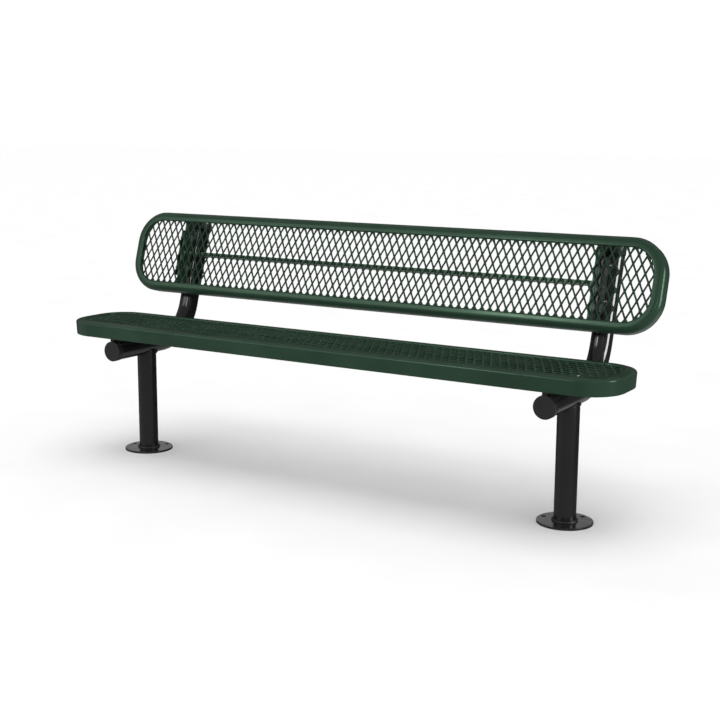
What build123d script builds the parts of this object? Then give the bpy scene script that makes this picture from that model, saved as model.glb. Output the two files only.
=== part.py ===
from build123d import *
import math
import os

# Park bench in coated expanded metal: a seat plank and a back plank carried by two
# bent-tube supports, each on one leg with a round floor flange.
# Millimetres. +X runs along the bench, +Y towards the back, +Z up, floor at z = 0.

# ---- planks (seat and back differ only in how their border is rounded) ----
plank_length = 1829.0
plank_width = 265.0
plank_depth = 47.0
corner_radius = 102.0
wall = 5.0                  # coated sheet of the rim
skirt_taper = 3.0           # degrees the skirt leans inwards
rim_width = 32.0            # smooth border around the mesh window
seat_crown = 70.0           # radius of the gentle fall towards the outer corner
seat_round = 6.0            # radius of the outer corner
back_crown = 300.0
back_round = 19.0
crown_flat = 1.0            # level strip beside the rounded window edge
cavity_round = 15.0
window_round = 4.6
lip_round = 2.2

# ---- expanded metal ----
mesh_thickness = 5.0
mesh_margin = 21.5          # mesh edge, measured in from the plank outline
short_way = 24.9            # diamond pitch along the bench
long_way = 50.2             # diamond pitch across the plank
strand_width = 6.0
row_offset = 7.4            # height of the middle row of diamonds on the plank
opening_margin = 8.0        # solid edge of the mesh sheet outside the openings
smallest_opening = 35.0     # mm2, smaller slivers at the edge are filled by the coating

# ---- ribs under the planks ----
bar_thickness = 10.0
rib_x = 717.5               # centre of each cross rib

# ---- tubes ----
tube_radius = 30.15
tube_wall = 3.9
bend_radius = 152.4
contact_gap = 0.2           # between curved faces that meet
cope_relief = 15.0          # leg top, below the arm axis

# ---- where things stand ----
seat_height = 435.0
back_tilt = 17.0
back_y = 217.0              # centre of the back plank's face, from the seat's centre line
back_z = 631.0
support_x = 730.0           # centre of each support
leg_y = 52.5
arm_clearance = 13.0        # from the seat skirt down to the arm
arm_front_y = -110.5
upright_depth = 101.0       # tube axis behind the face of the back plank
upright_top = 118.0         # top cap above the centre of the back plank, along the plank

# ---- end caps ----
cap_radius = 31.4
cap_face = 3.0
cap_length = 20.0
cap_chamfer = 2.0
cap_clearance = 0.5         # around and behind a front cap

# ---- floor flange ----
flange_radius = 76.2
flange_thickness = 6.35
anchor_circle = 122.0
anchor_hole = 14.3
anchor_angles = (60.0, 180.0, 300.0)
weld_leg = 6.0
weld_throat = 4.5

# ---- bracket plates and their bolts ----
plate_thickness = 12.7
plate_top = 12.0            # below the plank face
plate_weld = 3.5
seat_plate_front = -108.5
seat_plate_rear = 70.0
back_plate_half = 75.0
bolt_depth = 35.0           # below the plank face
seat_bolts_y = (-70.0, 40.0)
back_bolts_y = (-46.0, 54.0)
bolt_radius = 4.76
bolt_hole = 11.0
head_radius = 10.5
head_height = 5.0
washer_radius = 11.0
washer_thickness = 2.0
nut_flats = 14.3
nut_height = 8.5
thread_past_nut = 8.0

# ---- derived ----
arm_z = seat_height - plank_depth - arm_clearance - tube_radius
arm_depth = seat_height - arm_z
tilt = math.radians(back_tilt)
upright_y = back_y + upright_depth * math.cos(tilt)
upright_z = back_z - upright_depth * math.sin(tilt)
upright_top_y = upright_y + upright_top * math.sin(tilt)
front_y = -plank_width / 2
rear_y = upright_top_y + cap_radius * math.cos(tilt)
middle_y = (front_y + rear_y) / 2
rib_face_x = rib_x - bar_thickness / 2
plate_x = rib_x + bar_thickness / 2 + plate_thickness / 2
plate_face_x = plate_x + plate_thickness / 2
notch_y = arm_front_y + cap_length + cap_clearance
leg_top = arm_z - cope_relief

seat_place = Location((0, -middle_y, seat_height))
back_place = Location((0, back_y - middle_y, back_z), (90 - back_tilt, 0, 0))
bench_place = Location((0, -middle_y, 0))


# ---- planks, drawn with the face at z = 0 and the skirt hanging below ----

def rounded(inset):
    """Plank outline moved inwards by inset."""
    return RectangleRounded(plank_length - 2 * inset, plank_width - 2 * inset,
                            corner_radius - inset)


def border_section(crown_radius, outer_round):
    """Cross-section of the pressed border: x is the inset from the outline, y the height."""
    lean = math.tan(math.radians(skirt_taper))
    crown_from = rim_width - window_round - crown_flat
    crown_fall = crown_radius - math.sqrt(crown_radius ** 2 - crown_from ** 2)
    half_fall = crown_radius - math.sqrt(crown_radius ** 2 - crown_from ** 2 / 4)
    window_low = (rim_width, -wall)
    window_edge = (rim_width, 0)
    crown_start = (crown_from, 0)
    crown_middle = (crown_from / 2, -half_fall)
    outer_corner = (0, -crown_fall)
    outer_lip = (lean * (plank_depth - crown_fall), -plank_depth)
    inner_lip = (wall + lean * (plank_depth - wall), -plank_depth)
    inner_corner = (wall, -wall)
    section = Face(Wire([
        Line(window_low, window_edge),
        Line(window_edge, crown_start),
        ThreePointArc(crown_start, crown_middle, outer_corner),
        Line(outer_corner, outer_lip),
        Line(outer_lip, inner_lip),
        Line(inner_lip, inner_corner),
        Line(inner_corner, window_low),
    ]))
    for corner, radius in ((window_edge, window_round), (outer_corner, outer_round),
                           (outer_lip, lip_round), (inner_lip, lip_round), (inner_corner, cavity_round)):
        nearest = section.vertices().sort_by_distance((*corner, 0))[0]
        section = fillet(nearest, radius)
    return section


def drawn_in(section):
    """How far rounding its outer corner has drawn a border section in from the outline."""
    return section.bounding_box().min.X


def outline_path():
    """Plank outline as one closed run that starts in the middle of the front edge."""
    x = plank_length / 2
    y = plank_width / 2
    r = corner_radius
    d = r * math.sqrt(0.5)
    points = [(0, -y), (x - r, -y), (x, r - y), (x, y - r), (x - r, y),
              (r - x, y), (-x, y - r), (-x, r - y), (r - x, -y), (0, -y)]
    middles = [None, (x - r + d, r - d - y), None, (x - r + d, y - r + d), None,
               (r - x - d, y - r + d), None, (r - x - d, r - d - y), None]
    runs = []
    for start, middle, end in zip(points, middles, points[1:]):
        runs.append(ThreePointArc(start, middle, end) if middle else Line(start, end))
    return Wire(runs)


def plank_rim(section):
    """Pressed frame: the border section carried all the way round the outline."""
    place = Plane(origin=(0, -plank_width / 2, 0), x_dir=(0, 1, 0), z_dir=(1, 0, 0))
    return sweep(place * Pos(-drawn_in(section), 0) * section, path=outline_path())


def cavity(section):
    """Space inside the frame, under its border."""
    outline = Pos(0, 0, -wall) * rounded(wall - drawn_in(section))
    block = extrude(outline, amount=plank_depth - wall, dir=(0, 0, -1), taper=skirt_taper)
    return fillet(block.edges().group_by(Axis.Z)[-1], cavity_round)


def diamond(x, y):
    """One opening: the lattice cell shrunk by half a strand on every side."""
    side = math.hypot(short_way / 2, long_way / 2)
    shrink = 1 - strand_width * side / (short_way * long_way / 2)
    half_x = short_way / 2 * shrink
    half_y = long_way / 2 * shrink
    return Wire.make_polygon([(x - half_x, y), (x, y - half_y), (x + half_x, y), (x, y + half_y)])


def openings():
    """Every opening of the sheet; those crossing the edge are cut off at it."""
    reach = Face(rounded(mesh_margin + opening_margin).wire())
    wires = []
    rows = math.ceil(plank_width / long_way) + 1
    columns = math.ceil(plank_length / short_way / 2) + 1
    for row in range(-rows, rows + 1):
        for column in range(-columns, columns + 1):
            x = (column + (0.5 if row % 2 == 0 else 0.0)) * short_way
            y = row_offset + row * long_way / 2
            wire = diamond(x, y)
            corners = wire.vertices()
            inside = [reach.is_inside(corner.center()) for corner in corners]
            if all(inside):
                wires.append(wire)
            elif any(inside):
                for piece in (Face(wire) & reach).faces():
                    if piece.area > smallest_opening:
                        wires.append(piece.outer_wire())
    return wires


def plank_mesh(holes):
    """Expanded-metal sheet welded under the border."""
    outline = rounded(mesh_margin).wire()
    sheet = Face(outline, holes)
    return Pos(0, 0, -wall - mesh_thickness) * extrude(sheet, amount=mesh_thickness, dir=(0, 0, 1))


def plank_bar(inside, size_x, size_y, x=0.0):
    """Flat bar on edge under the mesh, trimmed to the inside of the skirt."""
    top = -wall - mesh_thickness
    height = plank_depth + top
    bar = Pos(x, 0, top - height / 2) * Box(size_x, size_y, height)
    return bar & inside


def bolt_holes(shape, places):
    """Clearance holes along X through a rib and its plate."""
    for y in places:
        shape -= Pos(plate_x, y, -bolt_depth) * Rot(0, 90, 0) * Cylinder(bolt_hole / 2, 60)
    return shape


def plank_parts(section, holes, bolt_places):
    """All the pieces of one plank, in its own frame."""
    inside = cavity(section)
    rib = bolt_holes(plank_bar(inside, bar_thickness, plank_width, rib_x), bolt_places)
    return {
        "rim": plank_rim(section),
        "mesh": plank_mesh(holes),
        "rib_right": rib,
        "rib_left": mirror(rib, about=Plane.YZ),
        "spine": plank_bar(inside, 2 * rib_face_x, bar_thickness),
    }


# ---- brackets, drawn in the frame of the plank they carry, for the right support ----

def along_y(radius, depth):
    """Long rod following the support tube under a plank."""
    return Pos(support_x, 0, -depth) * Rot(90, 0, 0) * Cylinder(radius, 3 * plank_width)


def plate_block(y_from, y_to, tube_depth, foot_from):
    """Upright plate standing on the tube from foot_from back, before it is drilled."""
    outline = [(y_from, -plate_top), (y_to, -plate_top), (y_to, -tube_depth), (foot_from, -tube_depth)]
    if foot_from > y_from:
        notch_z = cap_radius + cap_clearance - tube_depth
        outline += [(foot_from, notch_z), (y_from, notch_z)]
    profile = Face(Wire.make_polygon([(plate_x - plate_thickness / 2, y, z) for y, z in outline]))
    return extrude(profile, amount=plate_thickness, dir=(1, 0, 0))


def bracket_plate(block, tube_depth, bolt_places):
    return bolt_holes(block - along_y(tube_radius + contact_gap, tube_depth), bolt_places)


def bracket_welds(block, y_from, y_to, tube_depth):
    """Two beads along the foot of the plate, one on each side."""
    bed = along_y(tube_radius + plate_weld, tube_depth)
    strip_width = plate_thickness + 2 * plate_weld
    strip = Pos(plate_x, (y_from + y_to) / 2, -tube_depth + tube_radius)
    strip *= Box(strip_width, y_to - y_from, 4 * plate_weld)
    return (bed & strip) - along_y(tube_radius + contact_gap, tube_depth) - block


def carriage_bolt(y):
    """Round head on the inner side of the rib, thread pointing outwards."""
    grip = plate_face_x - rib_face_x + washer_thickness + nut_height + thread_past_nut
    head = Cylinder(head_radius, head_height, align=(Align.CENTER, Align.CENTER, Align.MAX))
    head = fillet(head.edges().group_by(Axis.Z)[0], head_height * 0.8)
    shank = Cylinder(bolt_radius, grip, align=(Align.CENTER, Align.CENTER, Align.MIN))
    shank = chamfer(shank.edges().group_by(Axis.Z)[-1], 1.0)
    return Pos(rib_face_x, y, -bolt_depth) * Rot(0, 90, 0) * (head + shank)


def washer(y):
    ring = Circle(washer_radius) - Circle(bolt_radius + contact_gap)
    disc = extrude(ring, amount=washer_thickness)
    return Pos(plate_face_x, y, -bolt_depth) * Rot(0, 90, 0) * disc


def nut(y):
    section = RegularPolygon(nut_flats / 2, 6, major_radius=False)
    body = extrude(section - Circle(bolt_radius + contact_gap), amount=nut_height)
    return Pos(plate_face_x + washer_thickness, y, -bolt_depth) * Rot(0, 90, 0) * body


def bracket_parts(name, y_from, y_to, tube_depth, bolt_places, foot_from):
    """Plate, welds and fasteners that hold one plank to the right support."""
    block = plate_block(y_from, y_to, tube_depth, foot_from)
    return {
        name + "_plate": bracket_plate(block, tube_depth, bolt_places),
        name + "_plate_welds": bracket_welds(block, foot_from + plate_weld, y_to, tube_depth),
        name + "_bolts": Compound([carriage_bolt(y) for y in bolt_places]),
        name + "_washers": Compound([washer(y) for y in bolt_places]),
        name + "_nuts": Compound([nut(y) for y in bolt_places]),
    }


# ---- right support, drawn with the seat's centre line at y = 0 ----

def arm_tube():
    """Arm and upright in one bent tube."""
    start = (support_x, arm_front_y + cap_face, arm_z)
    rise = (arm_z - upright_z) / math.cos(tilt)
    corner = (support_x, upright_y + rise * math.sin(tilt), arm_z)
    reach = upright_top - cap_face
    end = (support_x, upright_y + reach * math.sin(tilt), upright_z + reach * math.cos(tilt))
    path = FilletPolyline(start, corner, end, radius=bend_radius)
    mouth = Plane(origin=start, z_dir=(0, 1, 0))
    outside = sweep(mouth * Circle(tube_radius), path=path)
    inside = sweep(mouth * Circle(tube_radius - tube_wall), path=path)
    return outside - inside


def arm_rod(radius):
    """Solid rod along the straight arm, for coping and welding."""
    return Pos(support_x, leg_y, arm_z) * Rot(90, 0, 0) * Cylinder(radius, 4 * tube_radius)


def leg_rod(radius, bottom, top):
    return Pos(support_x, leg_y, (bottom + top) / 2) * Cylinder(radius, top - bottom)


def leg_tube():
    """Upright tube, its top coped to sit under the arm and cut level at the sides."""
    tube = leg_rod(tube_radius, flange_thickness, leg_top)
    tube -= leg_rod(tube_radius - tube_wall, flange_thickness, leg_top)
    return tube - arm_rod(tube_radius + contact_gap)


def saddle_weld():
    """Two beads along the cope, in front of the leg and behind it."""
    low = arm_z - tube_radius - 2 * weld_throat
    high = leg_top - 2.0
    bead = leg_rod(tube_radius + weld_throat, low, high) & arm_rod(tube_radius + weld_throat)
    bead -= leg_rod(tube_radius + contact_gap, low - 1, arm_z)
    return bead - arm_rod(tube_radius + contact_gap)


def base_weld():
    """Fillet bead between the leg and the flange."""
    inner = tube_radius + contact_gap
    corner = (inner, 0, flange_thickness)
    out = (inner + weld_leg, 0, flange_thickness)
    up = (inner, 0, flange_thickness + weld_leg)
    bulge = (inner + weld_leg * 0.62, 0, flange_thickness + weld_leg * 0.62)
    outline = Wire([Line(corner, out), ThreePointArc(out, bulge, up), Line(up, corner)])
    return Pos(support_x, leg_y, 0) * revolve(Face(outline), Axis.Z)


def flange():
    """Floor plate with three anchor holes."""
    disc = extrude(Circle(flange_radius), amount=flange_thickness)
    disc = fillet(disc.edges().group_by(Axis.Z)[-1], 1.2)
    for angle in anchor_angles:
        turn = math.radians(angle)
        place = Pos(anchor_circle / 2 * math.cos(turn), anchor_circle / 2 * math.sin(turn), 0)
        disc -= place * Cylinder(anchor_hole / 2, 4 * flange_thickness)
    return disc


def end_cap():
    """Cap closing a tube mouth: outer face at z = 0, skirt running down over the tube."""
    body = Cylinder(cap_radius, cap_length, align=(Align.CENTER, Align.CENTER, Align.MAX))
    body = fillet(body.edges().group_by(Axis.Z)[-1], cap_chamfer)
    skirt = Cylinder(tube_radius + contact_gap, cap_length, align=(Align.CENTER, Align.CENTER, Align.MAX))
    return body - Pos(0, 0, -cap_face) * skirt


def support_parts():
    """Tubes, caps and welds of the right support."""
    front = Location((support_x, arm_front_y, arm_z), (90, 0, 0))
    top_z = upright_z + upright_top * math.cos(tilt)
    top = Location((support_x, upright_top_y, top_z), (-back_tilt, 0, 0))
    return {
        "arm": arm_tube(),
        "leg": leg_tube(),
        "front_cap": front * end_cap(),
        "top_cap": top * end_cap(),
        "saddle_weld": saddle_weld(),
        "base_weld": base_weld(),
    }


# ---- assembly ----

def both_sides(nodes, parts, place):
    """Adds each right-hand piece and its mirror image on the left support."""
    for name, shape in parts.items():
        placed = place * shape
        nodes[name + "_right"] = placed
        nodes[name + "_left"] = mirror(placed, about=Plane.YZ)


def bench():
    nodes = {}
    holes = openings()
    seat = plank_parts(border_section(seat_crown, seat_round), holes, seat_bolts_y)
    back = plank_parts(border_section(back_crown, back_round), holes, back_bolts_y)
    for plank, place, parts in (("seat", seat_place, seat), ("back", back_place, back)):
        for name, shape in parts.items():
            nodes[plank + "_" + name] = place * shape
    seat_bracket = bracket_parts("seat", seat_plate_front, seat_plate_rear, arm_depth,
                                 seat_bolts_y, notch_y)
    back_bracket = bracket_parts("back", -back_plate_half, back_plate_half, upright_depth,
                                 back_bolts_y, -back_plate_half)
    both_sides(nodes, seat_bracket, seat_place)
    both_sides(nodes, back_bracket, back_place)
    both_sides(nodes, support_parts(), bench_place)
    for side, x in (("left", -support_x), ("right", support_x)):
        nodes["flange_" + side] = bench_place * Pos(x, leg_y, 0) * flange()
    return nodes


os.makedirs("parts", exist_ok=True)
for node, shape in bench().items():
    export_step(shape, "parts/" + node + ".step")
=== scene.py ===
import math

import bpy
from mathutils import Matrix, Vector, noise


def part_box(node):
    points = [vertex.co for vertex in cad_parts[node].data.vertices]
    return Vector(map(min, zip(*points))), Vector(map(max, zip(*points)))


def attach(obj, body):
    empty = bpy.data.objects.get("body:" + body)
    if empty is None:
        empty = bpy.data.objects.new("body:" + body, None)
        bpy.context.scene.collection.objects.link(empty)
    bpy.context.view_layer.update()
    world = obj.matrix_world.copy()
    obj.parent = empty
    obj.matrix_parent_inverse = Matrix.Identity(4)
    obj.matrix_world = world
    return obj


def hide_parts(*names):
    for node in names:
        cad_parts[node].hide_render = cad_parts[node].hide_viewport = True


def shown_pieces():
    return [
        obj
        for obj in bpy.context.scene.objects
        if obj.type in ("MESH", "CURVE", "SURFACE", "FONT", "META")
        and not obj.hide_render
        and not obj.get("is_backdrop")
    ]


# Park bench: the CAD rims, tubes, plates and fasteners stay; the flat diamond sheets become
# coated, twisted strands, and the plain welds of the legs become rippled beads.
# Metres, in the row frame: +X along the bench, +Y towards the back, +Z up.

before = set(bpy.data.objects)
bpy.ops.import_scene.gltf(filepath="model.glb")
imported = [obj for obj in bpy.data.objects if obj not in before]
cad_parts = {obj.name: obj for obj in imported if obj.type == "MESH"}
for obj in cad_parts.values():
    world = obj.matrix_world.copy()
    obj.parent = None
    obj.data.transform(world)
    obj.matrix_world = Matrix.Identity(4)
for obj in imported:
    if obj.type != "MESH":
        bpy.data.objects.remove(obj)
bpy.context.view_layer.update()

# ---- sizes shared with the CAD ----
back_tilt = math.radians(17.0)
corner_radius = 0.102
rim_width = 0.032
mesh_margin = 0.0215
short_way = 0.0249
long_way = 0.0502
row_offset = 0.0074
plank_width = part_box("seat_rim")[1].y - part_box("seat_rim")[0].y

# ---- coated strands of the expanded metal ----
strand_width = 0.0062
strand_depth = 0.0039
strand_twist = math.radians(18.0)
strand_level = -0.0072      # strand axis below the plank face
bond_offset = 0.0011        # strand axis to bond centre, two strands lie side by side
bond_share = 0.05           # part of each half pitch where the strand runs along the bond
straight_share = 0.85       # part of the swing between bonds that is straight, the rest is eased
pool_share = 0.14           # where the coat pools in the tips of the openings
pool_spread = 0.06
pool_growth = 0.12
pool_depth = 0.4            # share of that growth in the depth of the strand
flare_growth = 0.7          # fillets of coat where a strand runs under the border
flare_length = 0.004
coat_wander = 0.05          # uneven thickness of the coat
coat_wander_pitch = 90      # in noise cycles per metre
station_gap = 0.001         # keeps the last regular ring off the cut end
strand_sides = 8
strand_steps = (0.0, 0.05, 0.12, 0.20, 0.32, 0.68, 0.80, 0.88, 0.95)

# ---- weld beads ----
bead_radius = 0.0042
bead_pitch = 0.0042         # spacing of the ripples along a bead
bead_step = 0.0012
bead_sides = 10
bead_ends = 6               # steps over which an open bead tapers
bead_tip = 0.3              # size of an open bead at its very end
bead_ripple = 0.09
bead_lump = 0.12
bead_lump_pitch = 70        # in noise cycles per metre
bead_off = 0.0012           # from the face of the tube or flange to the bead's axis
cope_limit = 0.56           # sine of the turn at which the saddle beads end
cope_drop = 0.001           # from the arm's face to the bead's axis
cope_stretch = 2.3          # length of a saddle bead over leg radius and half turn

# ---- surroundings as the bench sees them: (height from 0 below to 1 overhead, radiance) ----
front_levels = ((0.0, 0.12), (0.35, 0.34), (0.5, 0.38), (0.65, 0.36), (1.0, 0.30))
behind_levels = ((0.0, 0.40), (0.30, 0.38), (0.37, 0.05), (0.60, 0.05), (0.75, 0.25), (1.0, 0.42))
front_to_behind = 0.3       # how far to either side of sideways the one turns into the other
backdrop = 1.05             # radiance of the white background in the picture

# ---- camera ----
camera_place = Vector((1.9891, -3.1502, 1.0494))
camera_yaw = math.radians(31.883)
camera_pitch = math.radians(10.6473)
camera_roll = math.radians(0.2827)
camera_lens = 63.656
camera_shift = (0.003297, 0.003683)


# ---- geometry helpers ----

def add_piece(name, points, faces, replaced):
    """Smooth mesh piece on the bench body, standing for a CAD node."""
    mesh = bpy.data.meshes.new(name)
    mesh.from_pydata(points, [], faces)
    mesh.polygons.foreach_set("use_smooth", [True] * len(mesh.polygons))
    mesh.update()
    piece = bpy.data.objects.new(name, mesh)
    bpy.context.scene.collection.objects.link(piece)
    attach(piece, "root")
    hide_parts(replaced)
    return piece


def add_tube(points, faces, rings, closed):
    """Skins a run of point rings; an open run gets flat ends."""
    first = len(points)
    sides = len(rings[0])
    for ring in rings:
        points.extend(ring)
    spans = len(rings) if closed else len(rings) - 1
    for span in range(spans):
        here = first + span * sides
        there = first + (span + 1) % len(rings) * sides
        for side in range(sides):
            after = (side + 1) % sides
            faces.append((here + side, here + after, there + after, there + side))
    if not closed:
        faces.append(tuple(first + side for side in reversed(range(sides))))
        faces.append(tuple(first + (len(rings) - 1) * sides + side for side in range(sides)))


def ellipse(centre, wide, deep, sides):
    """Ring of points on an ellipse with the two given half axes."""
    ring = []
    for side in range(sides):
        turn = 2 * math.pi * side / sides
        ring.append(centre + wide * math.cos(turn) + deep * math.sin(turn))
    return ring


def smooth_step(value):
    """0 up to 0 and 1 from 1 on, with an eased rise between."""
    value = min(max(value, 0.0), 1.0)
    return value * value * (3 - 2 * value)


# ---- expanded metal ----

def plank_place(node, tilt):
    """Matrix from plank coordinates (face at z = 0, centre at the origin) to the row frame."""
    turn = Matrix.Rotation(tilt, 4, "X")
    undo = turn.inverted()
    corners = [undo @ vertex.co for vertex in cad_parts[node].data.vertices]
    middle_y = (min(c.y for c in corners) + max(c.y for c in corners)) / 2
    face_z = max(c.z for c in corners)
    return turn @ Matrix.Translation((0, middle_y, face_z))


def sheet_reach(x, half_length, half_width):
    """Half width of the mesh sheet at a distance x from the middle of the plank."""
    radius = corner_radius - mesh_margin
    past = abs(x) - (half_length - radius)
    if past <= 0:
        return half_width
    if past >= radius:
        return 0.0
    return half_width - radius + math.sqrt(radius * radius - past * past)


def strand_stations(reach):
    """(row, share of the way to the next row, y) along a strand, from one edge to the other."""
    half = long_way / 2
    rows = math.ceil((reach + abs(row_offset)) / half) + 1
    stations = []
    for row in range(-rows, rows + 1):
        for share in strand_steps:
            y = row_offset + (row + share) * half
            if abs(y) < reach - station_gap:
                stations.append((row, share, y))
    for y in (-reach, reach):
        row = math.floor((y - row_offset) / half)
        stations.append((row, (y - row_offset) / half - row, y))
    return sorted(stations, key=lambda station: station[2])


def strand_axis(index, row, share, y):
    """Point on the axis of one zig-zag strand."""
    swing = short_way / 4 - bond_offset
    start_side = -1 if (row - index) % 2 == 0 else 1
    run = (share - bond_share) / (1 - 2 * bond_share)
    run = min(max(run, 0.0), 1.0)
    run = straight_share * run + (1 - straight_share) * smooth_step(run)
    sway = start_side * (1 - 2 * run)
    lift = -bond_offset * math.tan(strand_twist) * sway
    return Vector(((index + 0.5) * short_way / 2 + swing * sway, y, strand_level + lift))


def strand_rings(index, reach):
    """Flattened rings along one strand, thicker in the tips of the openings and at the border."""
    stations = strand_stations(reach)
    centres = [strand_axis(index, row, share, y) for row, share, y in stations]
    rings = []
    for spot, (row, share, y) in enumerate(stations):
        along = centres[min(spot + 1, len(centres) - 1)] - centres[max(spot - 1, 0)]
        across = Vector((along.y, -along.x, 0)).normalized()
        wide = across * math.cos(strand_twist) + Vector((0, 0, math.sin(strand_twist)))
        deep = wide.cross(along).normalized()
        tip = min(share, 1 - share)
        pool = pool_growth * math.exp(-((tip - pool_share) / pool_spread) ** 2)
        wander = coat_wander * noise.noise(centres[spot] * coat_wander_pitch + Vector((0, 0, index)))
        inside = max(reach - (rim_width - mesh_margin) - abs(y), 0.0)
        flare = flare_growth * math.exp(-inside / flare_length)
        width = strand_width / 2 * (1 + pool + flare + wander)
        depth = strand_depth / 2 * (1 + pool_depth * pool + wander)
        rings.append(ellipse(centres[spot], wide * width, deep * depth, strand_sides))
    return rings


def expanded_metal(name, node, rim, tilt):
    """Every strand of one plank's mesh, cut off under the rim."""
    place = plank_place(rim, tilt)
    low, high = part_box(rim)
    half_length = (high.x - low.x) / 2 - mesh_margin
    half_width = plank_width / 2 - mesh_margin
    count = int(half_length / (short_way / 2)) + 1
    points = []
    faces = []
    for index in range(-count, count):
        edge_x = abs(index + 0.5) * short_way / 2 + short_way / 4
        reach = sheet_reach(edge_x, half_length, half_width)
        if reach > long_way / 8:
            add_tube(points, faces, strand_rings(index, reach), closed=False)
    points = [place @ point for point in points]
    return add_piece(name, points, faces, node)


# ---- weld beads ----

def bead(points, faces, path, outwards, closed):
    """Rippled bead along a path of evenly spaced points; an open one tapers at its ends."""
    rings = []
    last = len(path) - 1
    for spot, centre in enumerate(path):
        after = (spot + 1) % len(path) if closed else min(spot + 1, last)
        before = spot - 1 if closed else max(spot - 1, 0)
        along = (path[after] - path[before]).normalized()
        out = outwards[spot]
        up = along.cross(out).normalized()
        ripple = 1 + bead_ripple * abs(math.sin(math.pi * spot * bead_step / bead_pitch))
        lump = 1 + bead_lump * noise.noise(centre * bead_lump_pitch)
        size = bead_radius * ripple * lump
        if not closed:
            size *= bead_tip + (1 - bead_tip) * smooth_step(min(spot, last - spot) / bead_ends)
        rings.append(ellipse(centre, out * size, up * size, bead_sides))
    add_tube(points, faces, rings, closed)


def leg_circle(side):
    """Centre and radius of a leg."""
    low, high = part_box("leg_" + side)
    return (low + high) / 2, (high.x - low.x) / 2


def base_weld(side):
    """Bead round the foot of a leg, on top of its flange."""
    middle, radius = leg_circle(side)
    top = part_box("flange_" + side)[1].z
    count = round(2 * math.pi * radius / bead_step)
    path = []
    outwards = []
    for spot in range(count):
        turn = 2 * math.pi * spot / count
        out = Vector((math.cos(turn), math.sin(turn), 0))
        path.append(Vector((middle.x, middle.y, top + bead_off)) + out * (radius + bead_off))
        outwards.append(out)
    points = []
    faces = []
    bead(points, faces, path, outwards, closed=True)
    return add_piece("base_bead_" + side, points, faces, "base_weld_" + side)


def saddle_weld(side):
    """Beads along the coped top of a leg, one in front and one behind."""
    middle, radius = leg_circle(side)
    axis_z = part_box("arm_" + side)[0].z + radius
    half_turn = math.pi / 2 - math.asin(cope_limit)
    count = round(cope_stretch * half_turn * radius / bead_step)
    points = []
    faces = []
    for centre_turn in (-math.pi / 2, math.pi / 2):
        path = []
        outwards = []
        for spot in range(count + 1):
            turn = centre_turn + half_turn * (2 * spot / count - 1)
            out = Vector((math.cos(turn), math.sin(turn), 0))
            drop = radius * abs(math.sin(turn)) + cope_drop
            path.append(Vector((middle.x, middle.y, axis_z - drop)) + out * (radius + bead_off))
            outwards.append(out)
        bead(points, faces, path, outwards, closed=False)
    return add_piece("saddle_bead_" + side, points, faces, "saddle_weld_" + side)


# ---- materials ----

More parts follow.
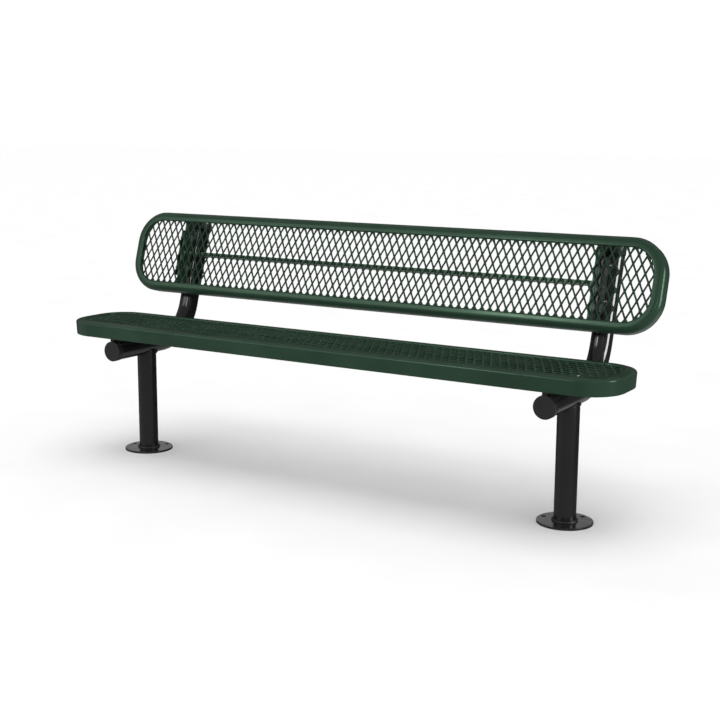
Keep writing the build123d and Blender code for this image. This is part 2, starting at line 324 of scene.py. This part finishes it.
class Surface:
    """One procedural material, with short calls for the nodes it is made of."""

    def __init__(self, name, roughness, metallic=0.0, specular=0.5):
        self.material = bpy.data.materials.new(name)
        self.material.use_nodes = True
        self.tree = self.material.node_tree
        self.shader = self.tree.nodes["Principled BSDF"]
        self.shader.inputs["Roughness"].default_value = roughness
        self.shader.inputs["Metallic"].default_value = metallic
        self.shader.inputs["Specular IOR Level"].default_value = specular
        self.place = self.add("ShaderNodeTexCoord").outputs["Object"]

    def add(self, kind, **settings):
        node = self.tree.nodes.new(kind)
        for key, value in settings.items():
            setattr(node, key, value)
        return node

    def link(self, source, target):
        self.tree.links.new(source, target)

    def noise(self, scale, detail=2.0, stretch=(1, 1, 1)):
        """Noise of the given frequency per metre, stretched along the object's axes."""
        mapping = self.add("ShaderNodeMapping")
        mapping.inputs["Scale"].default_value = stretch
        self.link(self.place, mapping.inputs["Vector"])
        node = self.add("ShaderNodeTexNoise")
        node.inputs["Scale"].default_value = scale
        node.inputs["Detail"].default_value = detail
        self.link(mapping.outputs["Vector"], node.inputs["Vector"])
        return node.outputs["Fac"]

    def edges(self, radius):
        """0 on flat faces, rising to 1 on edges sharper than the radius."""
        bevel = self.add("ShaderNodeBevel", samples=4)
        bevel.inputs["Radius"].default_value = radius
        geometry = self.add("ShaderNodeNewGeometry")
        dot = self.add("ShaderNodeVectorMath", operation="DOT_PRODUCT")
        self.link(bevel.outputs["Normal"], dot.inputs[0])
        self.link(geometry.outputs["Normal"], dot.inputs[1])
        return self.ramp(dot.outputs["Value"], ((0.80, (1, 1, 1)), (0.985, (0, 0, 0))))

    def ramp(self, factor, stops):
        """Colour ramp over a factor, with stops given as (position, colour)."""
        node = self.add("ShaderNodeValToRGB")
        node.color_ramp.elements[0].position = stops[0][0]
        node.color_ramp.elements[0].color = (*stops[0][1], 1)
        node.color_ramp.elements[1].position = stops[-1][0]
        node.color_ramp.elements[1].color = (*stops[-1][1], 1)
        for position, colour in stops[1:-1]:
            element = node.color_ramp.elements.new(position)
            element.color = (*colour, 1)
        self.link(factor, node.inputs["Fac"])
        return node.outputs["Color"]

    def mix(self, factor, first, second):
        """Mix of two colours, each a plain colour or a socket."""
        node = self.add("ShaderNodeMix", data_type="RGBA")
        self.link(factor, node.inputs["Factor"])
        for source, socket in ((first, node.inputs[6]), (second, node.inputs[7])):
            if isinstance(source, tuple):
                socket.default_value = (*source, 1)
            else:
                self.link(source, socket)
        return node.outputs[2]

    def colour(self, source):
        self.link(source, self.shader.inputs["Base Color"])

    def roughness(self, factor, low, high):
        """Roughness that runs from low to high with a factor."""
        node = self.add("ShaderNodeMapRange")
        node.inputs["To Min"].default_value = low
        node.inputs["To Max"].default_value = high
        self.link(factor, node.inputs["Value"])
        self.link(node.outputs["Result"], self.shader.inputs["Roughness"])

    def bump(self, layers):
        """Stacks bump layers given as (height source, strength, distance in metres)."""
        normal = None
        for height, strength, distance in layers:
            node = self.add("ShaderNodeBump")
            node.inputs["Strength"].default_value = strength
            node.inputs["Distance"].default_value = distance
            self.link(height, node.inputs["Height"])
            if normal:
                self.link(normal, node.inputs["Normal"])
            normal = node.outputs["Normal"]
        self.link(normal, self.shader.inputs["Normal"])


def coat(name, dark, light, worn, edge_radius, roughness=(0.20, 0.34), specular=0.5):
    """Thick plastic coating: soft waves, fine orange peel, thinner and paler on edges."""
    surface = Surface(name, roughness=0.3, specular=specular)
    surface.shader.inputs["Specular Tint"].default_value = (0.62, 1.0, 0.70, 1)
    body = surface.ramp(surface.noise(7.0, 4.0), ((0.35, dark), (0.65, light)))
    mottle = surface.ramp(surface.noise(160.0, 3.0), ((0.40, (0, 0, 0)), (0.75, (0.25, 0.25, 0.25))))
    body = surface.mix(mottle, body, light)
    if edge_radius:
        body = surface.mix(surface.edges(edge_radius), body, worn)
    surface.colour(body)
    surface.roughness(surface.noise(35.0, 3.0), *roughness)
    surface.bump((
        (surface.noise(28.0, 2.0), 0.10, 0.004),
        (surface.noise(420.0, 2.0), 0.06, 0.0005),
    ))
    return surface.material


def powder_coat(name, base, stretch, roughness):
    """Gloss black powder coat with faint draw marks along the tube."""
    surface = Surface(name, roughness=0.25, specular=0.5)
    tone = surface.ramp(surface.noise(9.0, 5.0), ((0.3, base), (0.7, tuple(1.5 * c for c in base))))
    surface.colour(surface.mix(surface.edges(0.0015), tone, tuple(3.0 * c for c in base)))
    surface.roughness(surface.noise(60.0, 4.0, stretch), *roughness)
    surface.bump((
        (surface.noise(120.0, 3.0, stretch), 0.03, 0.0015),
        (surface.noise(700.0, 2.0), 0.03, 0.0004),
    ))
    return surface.material


def weld_metal(name):
    """Coated weld: lumpy, a little rougher than the tube."""
    surface = Surface(name, roughness=0.35)
    tone = surface.ramp(surface.noise(90.0, 4.0),
                        ((0.3, (0.010, 0.010, 0.010)), (0.7, (0.022, 0.022, 0.021))))
    surface.colour(tone)
    surface.roughness(surface.noise(240.0, 3.0), 0.25, 0.5)
    surface.bump(((surface.noise(380.0, 4.0), 0.5, 0.0012),))
    return surface.material


def cap_plastic(name):
    """Satin moulded plastic."""
    surface = Surface(name, roughness=0.45)
    tone = surface.ramp(surface.noise(30.0, 4.0),
                        ((0.3, (0.012, 0.012, 0.012)), (0.7, (0.020, 0.020, 0.020))))
    surface.colour(surface.mix(surface.edges(0.001), tone, (0.045, 0.045, 0.045)))
    surface.roughness(surface.noise(150.0, 3.0), 0.36, 0.5)
    surface.bump(((surface.noise(900.0, 2.0), 0.12, 0.0003),))
    return surface.material


def zinc(name):
    """Bright zinc plating on the fasteners."""
    surface = Surface(name, roughness=0.25, metallic=1.0)
    tone = surface.ramp(surface.noise(140.0, 4.0), ((0.3, (0.26, 0.27, 0.27)), (0.7, (0.40, 0.41, 0.40))))
    surface.colour(surface.mix(surface.edges(0.0008), tone, (0.55, 0.56, 0.55)))
    surface.roughness(surface.noise(500.0, 3.0), 0.34, 0.50)
    surface.bump(((surface.noise(1200.0, 2.0), 0.15, 0.0002),))
    return surface.material


def paint(node, material):
    """Gives a CAD node its one material."""
    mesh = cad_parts[node].data
    mesh.materials.clear()
    mesh.materials.append(material)


# ---- build the pieces ----

seat_strands = expanded_metal("seat_strands", "seat_mesh", "seat_rim", 0.0)
back_strands = expanded_metal("back_strands", "back_mesh", "back_rim", math.pi / 2 - back_tilt)
beads = []
for side in ("left", "right"):
    beads.append(base_weld(side))
    beads.append(saddle_weld(side))

rim_coat = coat("rim_coat", (0.026, 0.057, 0.037), (0.035, 0.077, 0.049), (0.055, 0.105, 0.070), 0.002,
                roughness=(0.18, 0.28), specular=0.4)
# The strands get the rims' own green coat, painted darker all over: painted shade standing for the shade in
# the crevices of the mesh.
mesh_coat = coat("mesh_coat", (0.022, 0.047, 0.032), (0.031, 0.065, 0.043), None, None,
                 roughness=(0.38, 0.52), specular=0.25)
bar_coat = coat("bar_coat", (0.022, 0.045, 0.029), (0.030, 0.060, 0.039), (0.050, 0.095, 0.064), 0.0015)
tube_coat = powder_coat("tube_coat", (0.010, 0.010, 0.010), (1, 1, 0.05), (0.14, 0.26))
arm_coat = powder_coat("arm_coat", (0.010, 0.010, 0.010), (1, 0.1, 0.1), (0.08, 0.17))
plate_coat = powder_coat("plate_coat", (0.011, 0.011, 0.011), (1, 1, 1), (0.20, 0.36))
flange_coat = powder_coat("flange_coat", (0.012, 0.012, 0.012), (1, 1, 1), (0.18, 0.32))
weld_coat = weld_metal("weld_coat")
caps = cap_plastic("cap_plastic")
plated = zinc("zinc_plate")

finish_of = {
    "rim": rim_coat,
    "mesh": mesh_coat,
    "rib": bar_coat,
    "spine": bar_coat,
    "arm": arm_coat,
    "leg": tube_coat,
    "flange": flange_coat,
    "cap": caps,
    "plate": plate_coat,
    "welds": weld_coat,
    "weld": weld_coat,
    "bolts": plated,
    "washers": plated,
    "nuts": plated,
}


def kind_of(node):
    """Word in the node's name that says what it is, side and plank left off."""
    words = [word for word in node.split("_") if word not in ("left", "right")]
    return words[-1]


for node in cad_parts:
    paint(node, finish_of[kind_of(node)])
for piece in (seat_strands, back_strands):
    piece.data.materials.append(mesh_coat)
for piece in beads:
    piece.data.materials.append(weld_coat)


# ---- floor, light and camera ----

def add_floor():
    """Pale floor that shows only in the picture and is left out of the bench's own light."""
    mesh = bpy.data.meshes.new("floor")
    reach = 40.0
    corners = [(-reach, -reach, 0), (reach, -reach, 0), (reach, reach, 0), (-reach, reach, 0)]
    mesh.from_pydata(corners, [], [(0, 1, 2, 3)])
    floor = bpy.data.objects.new("floor", mesh)
    bpy.context.scene.collection.objects.link(floor)
    surface = Surface("floor_paint", roughness=0.9, specular=0.1)
    surface.colour(surface.ramp(surface.noise(3.0), ((0.3, (0.59, 0.59, 0.59)), (0.7, (0.61, 0.61, 0.61)))))
    mesh.materials.append(surface.material)
    floor.visible_diffuse = False
    floor.visible_glossy = False
    floor.visible_shadow = False
    floor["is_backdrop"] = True
    return floor


def only_on(light, *targets):
    """Lets a light fall on the given objects and on nothing else."""
    lit = bpy.data.collections.new(light.name + "_targets")
    for target in targets:
        lit.objects.link(target)
    light.light_linking.receiver_collection = lit


def add_sun(name, azimuth, elevation, strength, spread):
    """Broad even light from a direction; azimuth 0 is the front and 90 the +X end."""
    data = bpy.data.lights.new(name, "SUN")
    data.energy = strength
    data.angle = math.radians(spread)
    light = bpy.data.objects.new(name, data)
    turn = math.radians(azimuth)
    rise = math.radians(elevation)
    out = Vector((math.sin(turn) * math.cos(rise), -math.cos(turn) * math.cos(rise), math.sin(rise)))
    light.rotation_euler = out.to_track_quat("Z", "Y").to_euler()
    bpy.context.scene.collection.objects.link(light)
    return light


def add_panel(name, place, target, size, radiance, lit):
    """Rectangular soft box facing a target, lighting the given pieces but not the floor."""
    data = bpy.data.lights.new(name, "AREA")
    data.shape = "RECTANGLE"
    data.size, data.size_y = size
    data.energy = radiance * math.pi * size[0] * size[1]
    light = bpy.data.objects.new(name, data)
    light.location = place
    light.rotation_euler = (Vector(target) - Vector(place)).to_track_quat("-Z", "Y").to_euler()
    light.visible_camera = False
    bpy.context.scene.collection.objects.link(light)
    only_on(light, *lit)


def level_ramp(tree, height, levels):
    """Grey ramp over height with one stop for each (height, radiance)."""
    node = tree.nodes.new("ShaderNodeValToRGB")
    elements = node.color_ramp.elements
    elements[0].position = levels[0][0]
    elements[1].position = levels[-1][0]
    for position, level in levels[1:-1]:
        elements.new(position)
    for element, (position, level) in zip(elements, levels):
        element.color = (level, level, level, 1)
    tree.links.new(height, node.inputs["Fac"])
    return node.outputs["Color"]


def map_range(tree, source, low, high):
    """Value from 0 at low to 1 at high."""
    node = tree.nodes.new("ShaderNodeMapRange")
    node.inputs["From Min"].default_value = low
    node.inputs["From Max"].default_value = high
    tree.links.new(source, node.inputs["Value"])
    return node.outputs["Result"]


def add_world():
    """White in the picture; grey to the bench, by height, with other levels in front than behind."""
    world = bpy.data.worlds.new("studio")
    world.use_nodes = True
    tree = world.node_tree
    tree.nodes.clear()
    direction = tree.nodes.new("ShaderNodeSeparateXYZ")
    tree.links.new(tree.nodes.new("ShaderNodeTexCoord").outputs["Generated"], direction.inputs["Vector"])
    height = map_range(tree, direction.outputs["Z"], -1.0, 1.0)
    mix = tree.nodes.new("ShaderNodeMix")
    mix.data_type = "RGBA"
    side = map_range(tree, direction.outputs["Y"], -front_to_behind, front_to_behind)
    tree.links.new(side, mix.inputs["Factor"])
    tree.links.new(level_ramp(tree, height, front_levels), mix.inputs[6])
    tree.links.new(level_ramp(tree, height, behind_levels), mix.inputs[7])
    around = tree.nodes.new("ShaderNodeBackground")
    tree.links.new(mix.outputs[2], around.inputs["Color"])
    white = tree.nodes.new("ShaderNodeBackground")
    white.inputs["Color"].default_value = (1, 1, 1, 1)
    white.inputs["Strength"].default_value = backdrop
    choice = tree.nodes.new("ShaderNodeMixShader")
    seen = tree.nodes.new("ShaderNodeLightPath")
    tree.links.new(seen.outputs["Is Camera Ray"], choice.inputs["Fac"])
    tree.links.new(around.outputs["Background"], choice.inputs[1])
    tree.links.new(white.outputs["Background"], choice.inputs[2])
    out = tree.nodes.new("ShaderNodeOutputWorld")
    tree.links.new(choice.outputs["Shader"], out.inputs["Surface"])
    bpy.context.scene.world = world


def add_lights(floor):
    """Two broad suns for the floor alone and soft boxes for the bench alone."""
    only_on(add_sun("overhead", 10.0, 86.0, 2.4, 50.0), floor)
    only_on(add_sun("sky", 10.0, 86.0, 1.95, 110.0), floor)
    sheltered = ("seat_bolts", "seat_nuts", "seat_washers")
    bench = [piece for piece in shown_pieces() if not piece.name.startswith(sheltered)]
    flanges = [piece for piece in bench if piece.name.startswith("flange")]
    but_arms = [piece for piece in bench if not piece.name.startswith("arm")]
    right_end = ((5.5, 0.4, 1.1), (0.7, 0.2, 0.5), (1.6, 2.6))
    add_panel("right_box", *right_end, 10.0, but_arms)
    add_panel("arm_box", *right_end, 18.0, [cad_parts["arm_right"]])
    add_panel("left_box", (-2.5, -4.5, 2.1), (0, 0, 0.5), (4.0, 2.2), 2.0, bench)
    add_panel("near_box", (-0.24, -1.55, 1.25), (0.73, 0.1, 0.6), (0.3, 0.5), 9.0, bench)
    add_panel("camera_box", (4.2, -4.9, 1.9), (0.9, 0, 0.5), (0.8, 1.2), 4.0, bench)
    add_panel("flange_box", (-3.0, 4.8, 1.6), (0, 0, 0), (4.5, 1.2), 0.7, flanges)
    add_panel("seat_box", (0, -0.3, 3.0), (0, 0, 0.4), (2.4, 1.2), 2.4, [seat_strands])


def add_camera():
    data = bpy.data.cameras.new("camera")
    data.lens = camera_lens
    data.sensor_width = 36.0
    data.shift_x, data.shift_y = camera_shift
    data.clip_end = 200.0
    back = Vector((
        math.sin(camera_yaw) * math.cos(camera_pitch),
        -math.cos(camera_yaw) * math.cos(camera_pitch),
        math.sin(camera_pitch),
    ))
    right = Vector((0, 0, 1)).cross(back).normalized()
    up = back.cross(right)
    right, up = (
        right * math.cos(camera_roll) + up * math.sin(camera_roll),
        up * math.cos(camera_roll) - right * math.sin(camera_roll),
    )
    turn = Matrix((right, up, back)).transposed().to_4x4()
    camera = bpy.data.objects.new("camera", data)
    camera.matrix_world = Matrix.Translation(camera_place) @ turn
    bpy.context.scene.collection.objects.link(camera)
    bpy.context.scene.camera = camera


floor = add_floor()
add_world()
add_lights(floor)
add_camera()
bpy.context.scene.view_settings.view_transform = "Standard"
